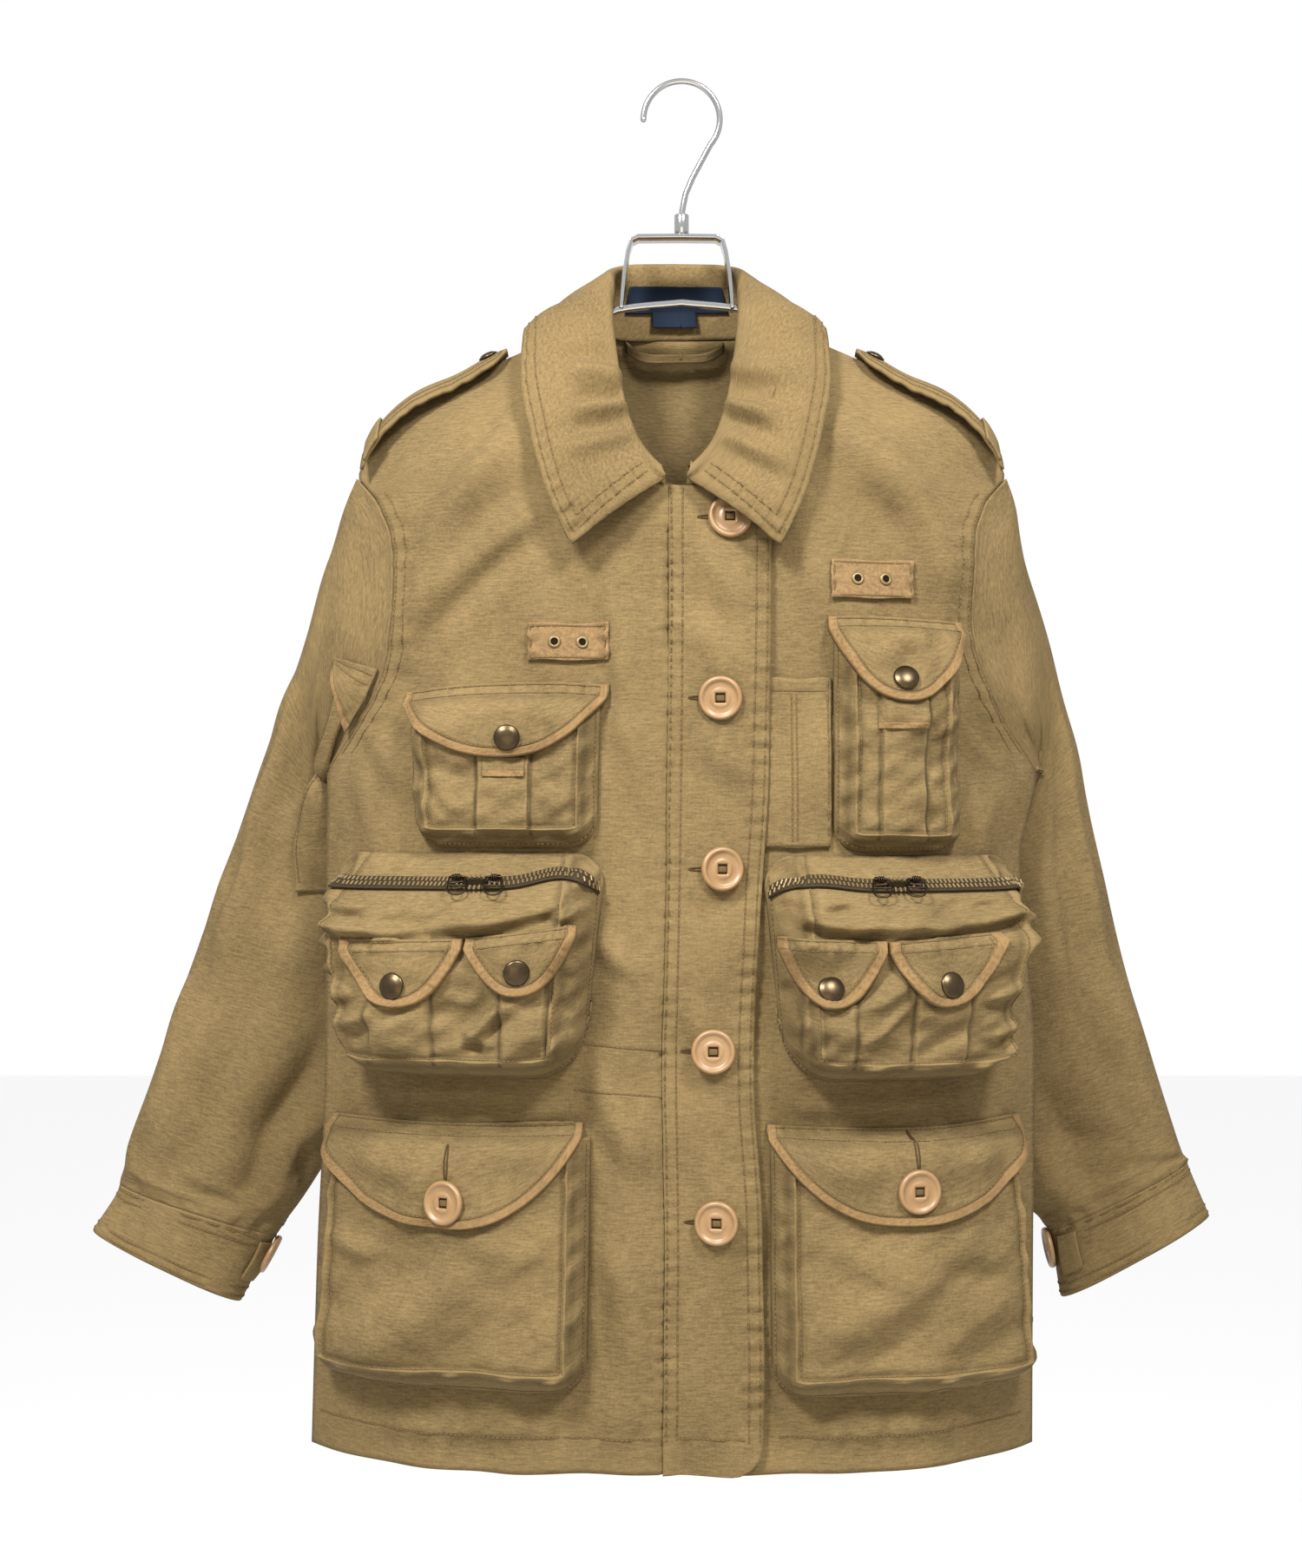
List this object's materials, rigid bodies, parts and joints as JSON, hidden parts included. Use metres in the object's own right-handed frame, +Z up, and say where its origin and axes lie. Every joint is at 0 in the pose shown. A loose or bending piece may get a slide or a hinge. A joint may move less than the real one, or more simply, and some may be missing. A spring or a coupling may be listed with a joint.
{
  "type": "hunting jacket on a hanger",
  "caption": "Buttoned canvas hunting jacket with bellows, flap and zip pockets, shoulder straps and a turned-down collar, hanging closed on a metal hanger.",
  "frame": {"origin": "inside top of the hanger hook, where a rail carries it", "axes": "+X to the wearer's left, -Y out of the front of the jacket, +Z up"},
  "size_m": [0.7178, 0.2244, 0.8418],
  "materials": {
    "canvas": "washed cotton canvas",
    "suede": "napped suede",
    "horn": "mottled horn",
    "brass": "antique brass",
    "steel": "polished",
    "label": "woven satin, bare",
    "tape": "woven zip tape"
  },
  "bodies": {
    "jacket": {"back": "canvas", "front_right": "canvas", "front_left": "canvas", "front_band": "canvas", "collar": "canvas", "sleeve_right": "canvas", "sleeve_left": "canvas", "cuff_right": "canvas", "cuff_left": "canvas", "cuff_button_right": "horn", "cuff_button_left": "horn", "shoulder_strap_right": "canvas", "shoulder_strap_left": "canvas", "strap_keeper_right": "canvas", "strap_keeper_left": "canvas", "sleeve_pocket": "canvas", "sleeve_flap": "canvas", "chest_pocket_right": "canvas", "chest_pocket_left": "canvas", "chest_flap_right": "canvas", "chest_flap_left": "canvas", "chest_snap_right": "brass", "chest_snap_left": "brass", "pen_pocket": "canvas", "badge_tab_right": "suede", "badge_tab_left": "suede", "zip_pocket_right": "canvas", "zip_pocket_left": "canvas", "zip_right": "tape", "zip_left": "tape", "zip_slider_right_1": "brass", "zip_slider_right_2": "brass", "zip_slider_left_1": "brass", "zip_slider_left_2": "brass", "small_flap_right_1": "canvas", "small_flap_right_2": "canvas", "small_flap_left_1": "canvas", "small_flap_left_2": "canvas", "small_snap_right_1": "brass", "small_snap_right_2": "brass", "small_snap_left_1": "brass", "small_snap_left_2": "brass", "cargo_pocket_right": "canvas", "cargo_pocket_left": "canvas", "cargo_flap_right": "canvas", "cargo_flap_left": "canvas", "cargo_button_right": "horn", "cargo_button_left": "horn", "front_button_1": "horn", "front_button_2": "horn", "front_button_3": "horn", "front_button_4": "horn", "front_button_5": "horn", "neck_label": "label", "hanging_loop": "canvas", "hanger": "steel"},
    "pull_right_1": {"zip_tab_right_1": "brass"},
    "pull_right_2": {"zip_tab_right_2": "brass"},
    "pull_left_1": {"zip_tab_left_1": "brass"},
    "pull_left_2": {"zip_tab_left_2": "brass"}
  },
  "joints": [
    {"name": "pull_right_1_swing", "type": "hinge", "parent": "jacket", "child": "pull_right_1", "pos_m": [-0.13193, -0.087, -0.48602], "axis": [-1, 0, 0], "range_deg": [0, 150]},
    {"name": "pull_right_2_swing", "type": "hinge", "parent": "jacket", "child": "pull_right_2", "pos_m": [-0.11036, -0.09093, -0.48597], "axis": [-1, 0, 0], "range_deg": [0, 150]},
    {"name": "pull_left_1_swing", "type": "hinge", "parent": "jacket", "child": "pull_left_1", "pos_m": [0.11538, -0.0893, -0.48745], "axis": [-1, 0, 0], "range_deg": [0, 150]},
    {"name": "pull_left_2_swing", "type": "hinge", "parent": "jacket", "child": "pull_left_2", "pos_m": [0.13575, -0.08441, -0.48742], "axis": [-1, 0, 0], "range_deg": [0, 150]}
  ]
}
